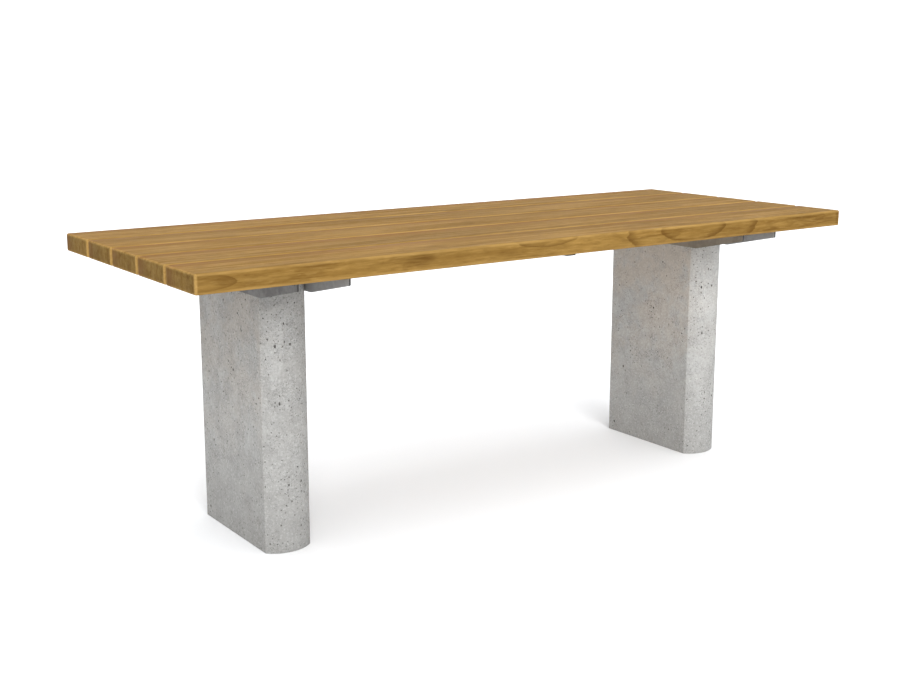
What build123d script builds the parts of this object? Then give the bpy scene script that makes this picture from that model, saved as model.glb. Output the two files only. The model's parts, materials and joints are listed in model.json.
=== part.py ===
"""Outdoor table for streets and parks: timber planks on two cast concrete legs.

Folded steel brackets clamp the sides of each leg and carry the planks, and a flat steel
batten ties the planks together at mid-length.  Millimetres.  +X runs along the planks,
+Y to the back, +Z up.  The origin is on the ground under the middle of the table.
"""
import os
from math import radians, tan

from build123d import *

# Planks of the top.
TABLE_LENGTH = 2000.0
PLANK_COUNT = 5
PLANK_WIDTH = 150.0
PLANK_THICKNESS = 44.0
PLANK_GAP = 7.0
PLANK_EDGE_RADIUS = 5.0
PLANK_UNDERSIDE_RADIUS = 3.0

# Concrete legs: a slab with flat sides and a shallow round nose at each end.
UNDERSIDE_HEIGHT = 680.0
LEG_INSET = 250.0
LEG_WIDTH = 120.0
LEG_SIDE_LENGTH = 328.0
LEG_NOSE_RISE = 26.0

# Rubber pads that part the concrete from the timber and the steel.
TOP_PAD_THICKNESS = 3.0
SIDE_PAD_THICKNESS = 2.0
PAD_MARGIN = 4.0

# Folded steel brackets, two to a leg.
BRACKET_THICKNESS = 5.0
BRACKET_DEPTH = 60.0
BRACKET_TIP_DEPTH = 20.0
BRACKET_TIP_INSET = 24.0
BRACKET_TIP_RADIUS = 5.0
BRACKET_KNEE_RADIUS = 12.0
BRACKET_BEND_RADIUS = 5.0
FLANGE_WIDTH = 45.0
FLANGE_END_SETBACK = 10.0
FLANGE_SCREW_DISTANCE = 22.0

# Clamp bolts, M12, through both brackets and the leg.
CLAMP_SPACING = 218.0
CLAMP_DROP = 30.0
BOLT_RADIUS = 6.0
BOLT_HEAD_FLATS = 18.0
BOLT_HEAD_HEIGHT = 7.5
BOLT_HOLE_CLEARANCE = 0.5
BOLT_END = 11.0
WASHER_RADIUS = 12.0
WASHER_THICKNESS = 2.5
NUT_HEX_HEIGHT = 10.0
NUT_DOME_RADIUS = 8.5
SLEEVE_WALL = 2.0
HEX_CROWN_SHARE = 0.95

# Wood screws, 8 mm: sunk flush in the brackets, and with a low round head under the batten.
SCREW_RADIUS = 4.0
SCREW_LENGTH = 38.0
SCREW_POINT = 7.0
SUNK_HEAD_RADIUS = 7.5
ROUND_HEAD_RADIUS = 7.0
ROUND_HEAD_HEIGHT = 3.0
ROUND_HEAD_EASING = 1.5
SCREW_DRIVE_FLATS = 5.0
SCREW_DRIVE_DEPTH = 2.2
SCREW_OFFSET = 30.0
SCREW_HOLE_CLEARANCE = 0.5
PILOT_CLEARANCE = 0.05
PILOT_SPARE_DEPTH = 1.0

# Flat steel batten at mid-length.
BATTEN_WIDTH = 30.0
BATTEN_THICKNESS = 5.0
BATTEN_INSET = 13.0
BATTEN_CORNER_RADIUS = 3.0

# Threaded sockets cast into the foot of each leg, M16.
SOCKET_SPACING = 200.0
SOCKET_BORE_RADIUS = 7.0
SOCKET_WALL = 4.0
SOCKET_LENGTH = 60.0
SOCKET_THREAD_LENGTH = 50.0

# Reinforcement cast into each leg.
BAR_RADIUS = 5.0
BAR_SPACING_X = 56.0
BAR_SPACING_Y = 290.0
BAR_COVER = 32.0
LINK_RADIUS = 3.0
LINK_COUNT = 5
LINK_END_DISTANCE = 75.0
LINK_BAR_CLEARANCE = 0.5

# Worked out from the sizes above.
TOP_WIDTH = PLANK_COUNT * PLANK_WIDTH + (PLANK_COUNT - 1) * PLANK_GAP
LEG_CENTRE_X = TABLE_LENGTH / 2 - LEG_INSET - LEG_WIDTH / 2
LEG_HEIGHT = UNDERSIDE_HEIGHT - TOP_PAD_THICKNESS
LEG_OVERALL_LENGTH = LEG_SIDE_LENGTH + 2 * LEG_NOSE_RISE
WEB_INNER_X = LEG_WIDTH / 2 + SIDE_PAD_THICKNESS
WEB_OUTER_X = WEB_INNER_X + BRACKET_THICKNESS
WEB_TIP_Y = TOP_WIDTH / 2 - BRACKET_TIP_INSET
FLANGE_END_Y = WEB_TIP_Y - FLANGE_END_SETBACK
FLANGE_SCREW_X = WEB_OUTER_X + FLANGE_SCREW_DISTANCE
CLAMP_Z = UNDERSIDE_HEIGHT - CLAMP_DROP
BOLT_HOLE_RADIUS = BOLT_RADIUS + BOLT_HOLE_CLEARANCE
SCREW_HOLE_RADIUS = SCREW_RADIUS + SCREW_HOLE_CLEARANCE
PLANK_NAMES = ["plank_front", "plank_front_inner", "plank_middle", "plank_back_inner", "plank_back"]


def plank_y(index):
    """Centre line of a plank, counted from the front."""
    return (index - (PLANK_COUNT - 1) / 2) * (PLANK_WIDTH + PLANK_GAP)


def screw_rows():
    """The Y places of the screws: two in the width of each plank."""
    return [plank_y(index) + side * SCREW_OFFSET for index in range(PLANK_COUNT) for side in (-1, 1)]


def screw_columns():
    """The X places of the screws: one under each flange and one under the batten."""
    near, far = LEG_CENTRE_X - FLANGE_SCREW_X, LEG_CENTRE_X + FLANGE_SCREW_X
    return [-far, -near, 0.0, near, far]


def cylinder_x(radius, start, end, y, z):
    """A round bar along X from start to end."""
    middle = Location(((start + end) / 2, y, z), (0, 90, 0))
    return middle * Cylinder(radius, end - start)


def cylinder_z(radius, bottom, top, x, y):
    """A round bar along Z from bottom to top."""
    return Pos(x, y, (bottom + top) / 2) * Cylinder(radius, top - bottom)


def hexagon(flats, height):
    """A hexagonal prism standing on the XY plane, with its top corners turned off at 30 degrees."""
    prism = extrude(RegularPolygon(flats / 2, 6, major_radius=False), height)
    crown = flats / 2 * HEX_CROWN_SHARE
    turning = Pos(0, 0, height / 2) * Cone(crown + height / tan(radians(30)), crown, height)
    return prism & turning


# Timber

def plank(index):
    """One plank with eased edges and the pilot holes for its screws."""
    board = Pos(0, plank_y(index), UNDERSIDE_HEIGHT + PLANK_THICKNESS / 2) * Box(
        TABLE_LENGTH, PLANK_WIDTH, PLANK_THICKNESS)
    board = fillet(board.edges().filter_by(Axis.Z), PLANK_EDGE_RADIUS)
    board = fillet(board.faces().sort_by(Axis.Z)[-1].edges(), PLANK_EDGE_RADIUS)
    board = fillet(board.faces().sort_by(Axis.Z)[0].edges(), PLANK_UNDERSIDE_RADIUS)
    pilot_top = UNDERSIDE_HEIGHT + SCREW_LENGTH - min(BRACKET_THICKNESS, BATTEN_THICKNESS) + PILOT_SPARE_DEPTH
    for x in screw_columns():
        for side in (-1, 1):
            y = plank_y(index) + side * SCREW_OFFSET
            board -= cylinder_z(SCREW_RADIUS + PILOT_CLEARANCE, UNDERSIDE_HEIGHT, pilot_top, x, y)
    return board


def screw_shank():
    """Shank and point of a screw driven upwards from the XY plane."""
    straight = SCREW_LENGTH - SCREW_POINT
    point = Pos(0, 0, straight + SCREW_POINT / 2) * Cone(SCREW_RADIUS, SCREW_RADIUS / 8, SCREW_POINT)
    return cylinder_z(SCREW_RADIUS, 0, straight, 0, 0) + point


def screw_drive():
    """The hexagon socket that the driver turns, as a prism that stands on the XY plane."""
    return extrude(RegularPolygon(SCREW_DRIVE_FLATS / 2, 6, major_radius=False), SCREW_DRIVE_DEPTH)


def sunk_screw():
    """Screw whose conical head ends flush with the XY plane."""
    rise = SUNK_HEAD_RADIUS - SCREW_RADIUS
    head = Pos(0, 0, rise / 2) * Cone(SUNK_HEAD_RADIUS, SCREW_RADIUS, rise)
    return screw_shank() + head - screw_drive()


def round_screw():
    """Screw whose low round head hangs under the XY plane."""
    head = cylinder_z(ROUND_HEAD_RADIUS, -ROUND_HEAD_HEIGHT, 0, 0, 0)
    head = fillet(head.edges().sort_by(Axis.Z)[0], ROUND_HEAD_EASING)
    return screw_shank() + head - Pos(0, 0, -ROUND_HEAD_HEIGHT) * screw_drive()


def screw_column(screw, x, seat_z):
    """One screw for each place in a line across the planks, seated at seat_z."""
    return [Pos(x, y, seat_z) * screw for y in screw_rows()]


def screw_sink(x, y, bottom):
    """The conical mouth of a hole for a flush screw."""
    rise = SUNK_HEAD_RADIUS - SCREW_HOLE_RADIUS
    return Pos(x, y, bottom + rise / 2) * Cone(SUNK_HEAD_RADIUS, SCREW_HOLE_RADIUS, rise)


# Middle batten

def middle_batten():
    """Flat bar across the planks, with a hole for each screw."""
    length = TOP_WIDTH - 2 * BATTEN_INSET
    bar = Pos(0, 0, UNDERSIDE_HEIGHT - BATTEN_THICKNESS / 2) * Box(BATTEN_WIDTH, length, BATTEN_THICKNESS)
    bar = fillet(bar.edges().filter_by(Axis.Z), BATTEN_CORNER_RADIUS)
    for y in screw_rows():
        bar -= cylinder_z(SCREW_HOLE_RADIUS, UNDERSIDE_HEIGHT - BATTEN_THICKNESS, UNDERSIDE_HEIGHT, 0, y)
    return bar


# One leg, at X = 0.  Its outer side, towards the end of the table, is +X.

def leg_outline(grow=0.0):
    """Plan of the leg, or of a smaller shape inside it where grow is below zero."""
    half_width = LEG_WIDTH / 2 + grow
    half_side = LEG_SIDE_LENGTH / 2
    nose = half_side + LEG_NOSE_RISE + grow
    edges = Curve() + [
        ThreePointArc((-half_width, -half_side), (0, -nose), (half_width, -half_side)),
        Line((half_width, -half_side), (half_width, half_side)),
        ThreePointArc((half_width, half_side), (0, nose), (-half_width, half_side)),
        Line((-half_width, half_side), (-half_width, -half_side)),
    ]
    return make_face(edges)


def clamp_rows():
    """The Y places of the two clamp bolts."""
    return [-CLAMP_SPACING / 2, CLAMP_SPACING / 2]


def socket_rows():
    """The Y places of the two threaded sockets."""
    return [-SOCKET_SPACING / 2, SOCKET_SPACING / 2]


def link_heights():
    """The heights of the steel links round the upright bars."""
    step = (LEG_HEIGHT - 2 * LINK_END_DISTANCE) / (LINK_COUNT - 1)
    return [LINK_END_DISTANCE + step * index for index in range(LINK_COUNT)]


def reinforcing_bars():
    """Four upright bars, covered by concrete at both ends."""
    return [
        cylinder_z(BAR_RADIUS, BAR_COVER, LEG_HEIGHT - BAR_COVER, x, y)
        for x in (-BAR_SPACING_X / 2, BAR_SPACING_X / 2)
        for y in (-BAR_SPACING_Y / 2, BAR_SPACING_Y / 2)
    ]


def reinforcing_links():
    """Closed loops of thin bar, bent round the four upright bars."""
    reach = BAR_RADIUS + LINK_BAR_CLEARANCE + LINK_RADIUS
    length_x = BAR_SPACING_X + 2 * reach
    length_y = BAR_SPACING_Y + 2 * reach
    loop = RectangleRounded(length_x, length_y, reach).wire()
    section = Plane(origin=loop @ 0, z_dir=loop % 0) * Circle(LINK_RADIUS)
    link = sweep(section, path=loop)
    return [Pos(0, 0, z) * link for z in link_heights()]


def floor_sockets():
    """Two sockets with a threaded bore that opens in the underside of the leg."""
    sockets = []
    for y in socket_rows():
        body = cylinder_z(SOCKET_BORE_RADIUS + SOCKET_WALL, 0, SOCKET_LENGTH, 0, y)
        sockets.append(body - cylinder_z(SOCKET_BORE_RADIUS, 0, SOCKET_THREAD_LENGTH, 0, y))
    return sockets


def clamp_sleeves():
    """Two tubes cast through the leg for the clamp bolts."""
    half = LEG_WIDTH / 2
    return [
        cylinder_x(BOLT_HOLE_RADIUS + SLEEVE_WALL, -half, half, y, CLAMP_Z)
        - cylinder_x(BOLT_HOLE_RADIUS, -half, half, y, CLAMP_Z)
        for y in clamp_rows()
    ]


def concrete_leg():
    """The cast leg, with the space for everything cast into it."""
    leg = extrude(leg_outline(), LEG_HEIGHT)
    half = LEG_WIDTH / 2
    for y in clamp_rows():
        leg -= cylinder_x(BOLT_HOLE_RADIUS + SLEEVE_WALL, -half, half, y, CLAMP_Z)
    for y in socket_rows():
        leg -= cylinder_z(SOCKET_BORE_RADIUS + SOCKET_WALL, 0, SOCKET_LENGTH, 0, y)
    for steel in reinforcing_bars() + reinforcing_links():
        leg -= steel
    return leg


def top_pad():
    """Rubber sheet between the top of the leg and the planks."""
    return Pos(0, 0, LEG_HEIGHT) * extrude(leg_outline(-PAD_MARGIN), TOP_PAD_THICKNESS)


def side_pad():
    """Rubber sheet between the leg's outer side and its bracket."""
    length = LEG_SIDE_LENGTH - 2 * PAD_MARGIN
    height = BRACKET_DEPTH - TOP_PAD_THICKNESS - 2 * PAD_MARGIN
    x = LEG_WIDTH / 2 + SIDE_PAD_THICKNESS / 2
    z = UNDERSIDE_HEIGHT - BRACKET_DEPTH + PAD_MARGIN + height / 2
    pad = Pos(x, 0, z) * Box(SIDE_PAD_THICKNESS, length, height)
    for y in clamp_rows():
        pad -= cylinder_x(BOLT_HOLE_RADIUS, LEG_WIDTH / 2, WEB_INNER_X, y, CLAMP_Z)
    return pad


def bracket_outline(thickness_from, thickness_to):
    """The bracket seen from the side, tapered to its tips, between two X planes."""
    half_leg = LEG_OVERALL_LENGTH / 2
    top = UNDERSIDE_HEIGHT
    tip_z = top - BRACKET_TIP_DEPTH
    low_z = top - BRACKET_DEPTH
    points = [
        (-WEB_TIP_Y, top), (-WEB_TIP_Y, tip_z), (-half_leg, low_z),
        (half_leg, low_z), (WEB_TIP_Y, tip_z), (WEB_TIP_Y, top),
    ]
    face = make_face(Polyline(*points, close=True))
    lower = face.vertices().filter_by(lambda v: v.Y < top - BRACKET_TIP_DEPTH / 2)
    face = fillet(lower.filter_by(lambda v: v.Y > low_z + 1), BRACKET_TIP_RADIUS)
    knees = face.vertices().filter_by(lambda v: v.Y < low_z + 1)
    face = fillet(knees, BRACKET_KNEE_RADIUS)
    return extrude(Plane.YZ.offset(thickness_from) * face, thickness_to - thickness_from)


def bracket():
    """Folded bracket on the leg's outer side: an upright web and a flange under the planks."""
    low_z = UNDERSIDE_HEIGHT - BRACKET_DEPTH
    flange_x = WEB_INNER_X + FLANGE_WIDTH
    flange_z = UNDERSIDE_HEIGHT - BRACKET_THICKNESS
    section = make_face(Polyline(
        (WEB_INNER_X, low_z), (WEB_OUTER_X, low_z), (WEB_OUTER_X, flange_z),
        (flange_x, flange_z), (flange_x, UNDERSIDE_HEIGHT), (WEB_INNER_X, UNDERSIDE_HEIGHT), close=True))
    inner = section.vertices().filter_by(lambda v: abs(v.X - WEB_OUTER_X) < 0.1 and v.Y > low_z + 1)
    section = fillet(inner, BRACKET_BEND_RADIUS)
    outer = section.vertices().filter_by(
        lambda v: abs(v.X - WEB_INNER_X) < 0.1 and v.Y > UNDERSIDE_HEIGHT - 1)
    section = fillet(outer, BRACKET_BEND_RADIUS + BRACKET_THICKNESS)
    folded = extrude(Plane.XZ * section, FLANGE_END_Y, both=True)
    folded = folded & bracket_outline(WEB_INNER_X, flange_x)
    web = bracket_outline(WEB_INNER_X, WEB_OUTER_X)
    middle = Pos(WEB_INNER_X, 0, UNDERSIDE_HEIGHT) * Box(
        4 * BRACKET_THICKNESS, 2 * FLANGE_END_Y, 4 * BRACKET_DEPTH)
    piece = folded + (web - middle)
    for y in clamp_rows():
        piece -= cylinder_x(BOLT_HOLE_RADIUS, WEB_INNER_X, WEB_OUTER_X, y, CLAMP_Z)
    for y in screw_rows():
        piece -= cylinder_z(SCREW_HOLE_RADIUS, flange_z, UNDERSIDE_HEIGHT, FLANGE_SCREW_X, y)
        piece -= screw_sink(FLANGE_SCREW_X, y, flange_z)
    return piece


def inward(shapes):
    """The same pieces on the leg's inner side."""
    return [mirror(shape, about=Plane.YZ) for shape in shapes]


def bolt_washers():
    """A washer on each bracket for each clamp bolt."""
    outer = [
        cylinder_x(WASHER_RADIUS, WEB_OUTER_X, WEB_OUTER_X + WASHER_THICKNESS, y, CLAMP_Z)
        - cylinder_x(BOLT_HOLE_RADIUS, WEB_OUTER_X, WEB_OUTER_X + WASHER_THICKNESS, y, CLAMP_Z)
        for y in clamp_rows()
    ]
    return outer + inward(outer)


def clamp_bolts():
    """Two bolts with their heads on the outer side."""
    seat = WEB_OUTER_X + WASHER_THICKNESS
    bolts = []
    for y in clamp_rows():
        shank = cylinder_x(BOLT_RADIUS, -seat - BOLT_END, seat, y, CLAMP_Z)
        head = Location((seat, y, CLAMP_Z), (0, 90, 0)) * hexagon(BOLT_HEAD_FLATS, BOLT_HEAD_HEIGHT)
        bolts.append(shank + head)
    return bolts


def cap_nuts():
    """A domed nut on the inner end of each clamp bolt."""
    seat = WEB_OUTER_X + WASHER_THICKNESS
    depth = BOLT_END + PILOT_CLEARANCE
    nuts = []
    for y in clamp_rows():
        body = hexagon(BOLT_HEAD_FLATS, NUT_HEX_HEIGHT)
        dome = Pos(0, 0, NUT_HEX_HEIGHT) * (
            Sphere(NUT_DOME_RADIUS) & Pos(0, 0, NUT_DOME_RADIUS) * Box(
                2 * NUT_DOME_RADIUS, 2 * NUT_DOME_RADIUS, 2 * NUT_DOME_RADIUS))
        bore = Pos(0, 0, depth / 2) * Cylinder(BOLT_RADIUS + PILOT_CLEARANCE, depth)
        nut = Location((-seat, y, CLAMP_Z), (0, -90, 0)) * (body + dome - bore)
        nuts.append(nut)
    return nuts


def leg_assembly():
    """Every piece of one leg, by name."""
    flange_seat = UNDERSIDE_HEIGHT - BRACKET_THICKNESS
    return {
        "concrete_leg": [concrete_leg()],
        "reinforcing_bars": reinforcing_bars(),
        "reinforcing_links": reinforcing_links(),
        "floor_sockets": floor_sockets(),
        "clamp_sleeves": clamp_sleeves(),
        "top_pad": [top_pad()],
        "outer_side_pad": [side_pad()],
        "inner_side_pad": inward([side_pad()]),
        "outer_bracket": [bracket()],
        "inner_bracket": inward([bracket()]),
        "bolt_washers": bolt_washers(),
        "clamp_bolts": clamp_bolts(),
        "cap_nuts": cap_nuts(),
        "outer_bracket_screws": screw_column(sunk_screw(), FLANGE_SCREW_X, flange_seat),
        "inner_bracket_screws": screw_column(sunk_screw(), -FLANGE_SCREW_X, flange_seat),
    }


def save(name, shapes):
    """Write one node."""
    solids = [solid for shape in shapes for solid in shape.solids()]
    export_step(Compound(children=solids) if len(solids) > 1 else solids[0], f"parts/{name}.step")


def main():
    """Build the table and write every node."""
    os.makedirs("parts", exist_ok=True)
    for index in range(PLANK_COUNT):
        save(PLANK_NAMES[index], [plank(index)])
    save("middle_batten", [middle_batten()])
    save("middle_batten_screws", screw_column(round_screw(), 0.0, UNDERSIDE_HEIGHT - BATTEN_THICKNESS))
    for name, shapes in leg_assembly().items():
        placed = [Pos(LEG_CENTRE_X, 0, 0) * shape for shape in shapes]
        save(f"right_{name}", placed)
        save(f"left_{name}", inward(placed))


main()
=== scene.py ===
"""Looks of an outdoor table: oiled timber planks on two cast concrete legs with steel brackets.

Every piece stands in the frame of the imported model: metres, +X along the planks, +Y to the back,
+Z up, with the origin on the ground under the middle of the table.
"""

import json
import logging
import math
from dataclasses import dataclass, field
from enum import Enum
from typing import Any

import bmesh
import bpy
import numpy as np
from mathutils import Euler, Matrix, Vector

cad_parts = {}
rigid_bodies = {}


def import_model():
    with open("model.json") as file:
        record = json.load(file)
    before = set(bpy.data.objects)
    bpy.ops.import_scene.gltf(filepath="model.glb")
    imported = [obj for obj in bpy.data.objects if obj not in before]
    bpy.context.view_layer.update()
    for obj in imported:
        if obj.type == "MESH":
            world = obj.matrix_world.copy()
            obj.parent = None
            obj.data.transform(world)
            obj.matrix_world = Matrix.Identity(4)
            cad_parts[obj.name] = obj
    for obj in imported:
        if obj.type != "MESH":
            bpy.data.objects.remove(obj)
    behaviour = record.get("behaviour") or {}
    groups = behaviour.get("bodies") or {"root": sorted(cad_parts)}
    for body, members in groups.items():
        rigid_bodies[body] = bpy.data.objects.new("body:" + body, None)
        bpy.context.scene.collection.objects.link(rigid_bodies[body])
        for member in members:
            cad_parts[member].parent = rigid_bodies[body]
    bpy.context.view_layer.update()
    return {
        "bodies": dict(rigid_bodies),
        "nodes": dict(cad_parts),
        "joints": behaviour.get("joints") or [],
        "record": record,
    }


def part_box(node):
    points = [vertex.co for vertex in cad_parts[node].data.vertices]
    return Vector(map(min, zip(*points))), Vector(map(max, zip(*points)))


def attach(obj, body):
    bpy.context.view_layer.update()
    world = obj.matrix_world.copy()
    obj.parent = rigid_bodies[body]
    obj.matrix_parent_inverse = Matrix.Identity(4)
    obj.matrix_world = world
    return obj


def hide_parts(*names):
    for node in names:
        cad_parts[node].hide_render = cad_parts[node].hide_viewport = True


LOG = logging.getLogger("outdoor_table")
ROOT = "root"
MM = 0.001

Array = np.ndarray
Material = bpy.types.Material
Node = bpy.types.Node
Object = bpy.types.Object
Socket = bpy.types.NodeSocket
Tree = bpy.types.NodeTree
Colour = tuple[float, float, float]
Point = tuple[float, float, float]


class Side(Enum):
    """The two legs, by the word that starts the names of their pieces."""

    LEFT = "left"
    RIGHT = "right"


# Meshes


@dataclass(frozen=True)
class Tube:
    """Faces between closed rings of points, which are numbered ring by ring."""

    rings: int
    columns: int

    def quads(self) -> Array:
        """Quads between neighbouring rings.

        Returns:
            Four point numbers for each face, one row each.
        """
        row = np.arange(self.rings - 1)[:, None] * self.columns
        here = np.arange(self.columns)[None, :]
        after = (here + 1) % self.columns
        corners = [row + here, row + after, row + self.columns + after, row + self.columns + here]
        return np.stack(corners, axis=-1).reshape(-1, 4)

    def fans(self) -> Array:
        """Triangles from both end rings to two middle points, which follow the last ring.

        Returns:
            Three point numbers for each face, one row each.
        """
        here = np.arange(self.columns)
        after = (here + 1) % self.columns
        total, last = self.rings * self.columns, (self.rings - 1) * self.columns
        first_fan = np.stack([np.full_like(here, total), after, here], axis=-1)
        last_fan = np.stack([np.full_like(here, total + 1), last + here, last + after], axis=-1)
        return np.concatenate([first_fan, last_fan])

    def capped(self, start: int = 0) -> list[list[int]]:
        """The quads and a flat face over each end, with points numbered from a start.

        Args:
            start: the number of the first ring's first point.

        Returns:
            Each face as a list of point numbers.
        """
        last = start + (self.rings - 1) * self.columns
        caps = [list(range(start, start + self.columns))[::-1], list(range(last, last + self.columns))]
        return (self.quads() + start).tolist() + caps


def eased_run(start: float, finish: float, radius: float, arc_steps: int, stations: int) -> Array:
    """Places along an axis: dense at both ends, as on a quarter circle, and even between them.

    Args:
        start: the first place.
        finish: the last place.
        radius: the radius of the quarter circles.
        arc_steps: how many places each of them has.
        stations: how many places there are from one to the other.

    Returns:
        The places, from start to finish.
    """
    ease = radius * (1.0 - np.cos(np.linspace(0.0, math.pi / 2, arc_steps)))
    middle = np.linspace(start + radius, finish - radius, stations)[1:-1]
    return np.concatenate([start + ease, middle, (finish - ease)[::-1]])


def link(name: str, data: Any) -> Object:
    """Puts a new object with this data into the scene, at the origin.

    Args:
        name: the object's name.
        data: its mesh.

    Returns:
        The linked object.
    """
    item = bpy.data.objects.new(name, data)
    bpy.context.scene.collection.objects.link(item)
    return item


def shell(name: str, points: Array, faces: list[list[int]]) -> bpy.types.Mesh:
    """A mesh from points in metres, one row each, and faces as lists of point numbers.

    Args:
        name: the mesh's name.
        points: its points.
        faces: its faces.

    Returns:
        The mesh.
    """
    mesh = bpy.data.meshes.new(name)
    mesh.from_pydata(points.tolist(), [], faces)
    return mesh


def finish_object(name: str, mesh: bpy.types.Mesh, smooth_angle: float = 35.0) -> Object:
    """Turns a closed mesh's faces outwards, smooths it and links it.

    Args:
        name: the piece's name.
        mesh: its mesh, in place.
        smooth_angle: edges that turn more than this many degrees stay sharp.

    Returns:
        The linked object.
    """
    work = bmesh.new()
    work.from_mesh(mesh)
    bmesh.ops.recalc_face_normals(work, faces=work.faces)
    limit = math.radians(smooth_angle)
    for face in work.faces:
        face.smooth = True
    for edge in work.edges:
        edge.smooth = edge.calc_face_angle(0.0) < limit
    work.to_mesh(mesh)
    work.free()
    mesh.name = name
    return link(name, mesh)


def eased_copy(node: Object, name: str, width: float) -> Object:
    """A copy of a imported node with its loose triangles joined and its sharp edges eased.

    Args:
        node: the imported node.
        name: the copy's name.
        width: how far the easing reaches from each edge, in metres.

    Returns:
        The new object, with clean flat faces.
    """
    weld_distance, flat_angle, sharp_angle, smooth_angle = 0.002 * MM, 0.6, 50.0, 40.0
    work = bmesh.new()
    work.from_mesh(node.data)
    bmesh.ops.remove_doubles(work, verts=work.verts, dist=weld_distance)
    bmesh.ops.dissolve_limit(work, angle_limit=math.radians(flat_angle), verts=work.verts, edges=work.edges)
    mesh = bpy.data.meshes.new(name)
    work.to_mesh(mesh)
    work.free()
    piece = finish_object(name, mesh, smooth_angle)
    bevel = piece.modifiers.new("eased edges", "BEVEL")
    bevel.width = width
    bevel.segments = 2
    bevel.limit_method = "ANGLE"
    bevel.angle_limit = math.radians(sharp_angle)
    bevel.use_clamp_overlap = True
    bevel.harden_normals = True
    return piece


def give_material(piece: Object, *materials: Material) -> None:
    """Fills a piece's material slots in order and leaves each face in its slot.

    Args:
        piece: the piece.
        materials: one material for each slot.
    """
    while len(piece.material_slots) < len(materials):
        piece.data.materials.append(None)
    for slot, material in zip(piece.material_slots, materials):
        slot.material = material


# Shader graphs


class Graph:
    """Adds nodes and links to one node tree."""

    def __init__(self, tree: Tree) -> None:
        """Keeps the tree that the nodes go into."""
        self.tree = tree

    def fill(self, node: Node, inputs: dict[str | int, Any]) -> None:
        """Links or sets a node's inputs, by name or number; colours come without alpha.

        Args:
            node: the node.
            inputs: a value or a socket for each input.
        """
        for key, value in inputs.items():
            socket = node.inputs[key]
            if isinstance(value, Socket):
                self.tree.links.new(value, socket)
            else:
                socket.default_value = (*value, 1.0) if socket.type == "RGBA" else value

    def add(self, kind: str, inputs: dict[str | int, Any] | None = None, **settings: Any) -> Node:
        """Adds a node.

        Args:
            kind: the node's type name.
            inputs: values or sockets for its inputs, by name or number.
            settings: the node's own properties.

        Returns:
            The node.
        """
        node = self.tree.nodes.new(kind)
        for key, value in settings.items():
            setattr(node, key, value)
        self.fill(node, inputs or {})
        return node

    def use(self, group: Tree, **inputs: Any) -> Socket:
        """Places a shared node group with its own values, and gives its output."""
        return self.add("ShaderNodeGroup", inputs, node_tree=group).outputs[0]

    def math(self, operation: str, first: Any, second: Any = 0.0) -> Socket:
        """One sum on two numbers or sockets."""
        return self.add("ShaderNodeMath", {0: first, 1: second}, operation=operation).outputs[0]

    def times(self, product: Any, *factors: Any) -> Socket:
        """The product of two or more numbers or sockets.

        Args:
            product: the first of them.
            factors: the others.

        Returns:
            The product.
        """
        for factor in factors:
            product = self.math("MULTIPLY", product, factor)
        return product

    def blend(self, first: Socket, share: float, second: Socket, other_share: float) -> Socket:
        """The sum of two values, each times its share."""
        return self.math("ADD", self.times(first, share), self.times(second, other_share))

    def vector(self, operation: str, *values: Any, **named: Any) -> Socket:
        """One sum on vectors: a number for a length or a dot product, and otherwise a vector."""
        node = self.add("ShaderNodeVectorMath", {**dict(enumerate(values)), **named}, operation=operation)
        return node.outputs["Value" if operation in ("LENGTH", "DOT_PRODUCT") else "Vector"]

    def axis(self, vector: Socket, index: int) -> Socket:
        """One axis of a vector: 0, 1 or 2 for X, Y or Z."""
        return self.add("ShaderNodeSeparateXYZ", {0: vector}).outputs[index]

    def normal(self) -> Socket:
        """The direction that the surface faces."""
        return self.add("ShaderNodeNewGeometry").outputs["Normal"]

    def endways(self) -> Socket:
        """How far the surface faces along X, either way, from 0 to 1."""
        return self.math("ABSOLUTE", self.axis(self.normal(), 0))

    def noise(self, vector: Socket, scale: Any, detail: float = 3.0, roughness: float = 0.55) -> Socket:
        """Cloudy values about 0.5; the scale is one number or socket, or a number for each axis.

        Args:
            vector: where the noise is read.
            scale: how many clouds there are in a metre.
            detail: how many finer sizes are added.
            roughness: how much the finer sizes count.

        Returns:
            The noise.
        """
        if isinstance(scale, tuple):
            vector, scale = self.vector("MULTIPLY", vector, scale), 1.0
        values = {"Vector": vector, "Scale": scale, "Detail": detail, "Roughness": roughness}
        return self.add("ShaderNodeTexNoise", values).outputs["Fac"]

    def span(self, value: Any, low: Any, high: Any, to_low: Any = 0.0, to_high: Any = 1.0) -> Socket:
        """A value carried from one range to another with soft ends, held at the ends.

        Args:
            value: the value.
            low: the start of the range that it comes from.
            high: the end of that range.
            to_low: what the start becomes.
            to_high: what the end becomes.

        Returns:
            The carried value.
        """
        values = {"Value": value, 1: low, 2: high, 3: to_low, 4: to_high}
        node = self.add("ShaderNodeMapRange", values, interpolation_type="SMOOTHSTEP", clamp=True)
        return node.outputs[0]

    def mix(self, mask: Any, first: Any, second: Any, blend: str = "MIX") -> Socket:
        """Two colours mixed, the second where the mask is 1."""
        settings = {"data_type": "RGBA", "blend_type": blend, "clamp_factor": True}
        return self.add("ShaderNodeMix", {0: mask, 6: first, 7: second}, **settings).outputs[2]

    def layered(self, colour: Any, *layers: tuple[Any, Any]) -> Socket:
        """A colour with others laid over it in turn, each by its own mask.

        Args:
            colour: the colour at the bottom.
            layers: a mask and a colour for each layer.

        Returns:
            The colour with all its layers.
        """
        for mask, over in layers:
            colour = self.mix(mask, colour, over)
        return colour


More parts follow.
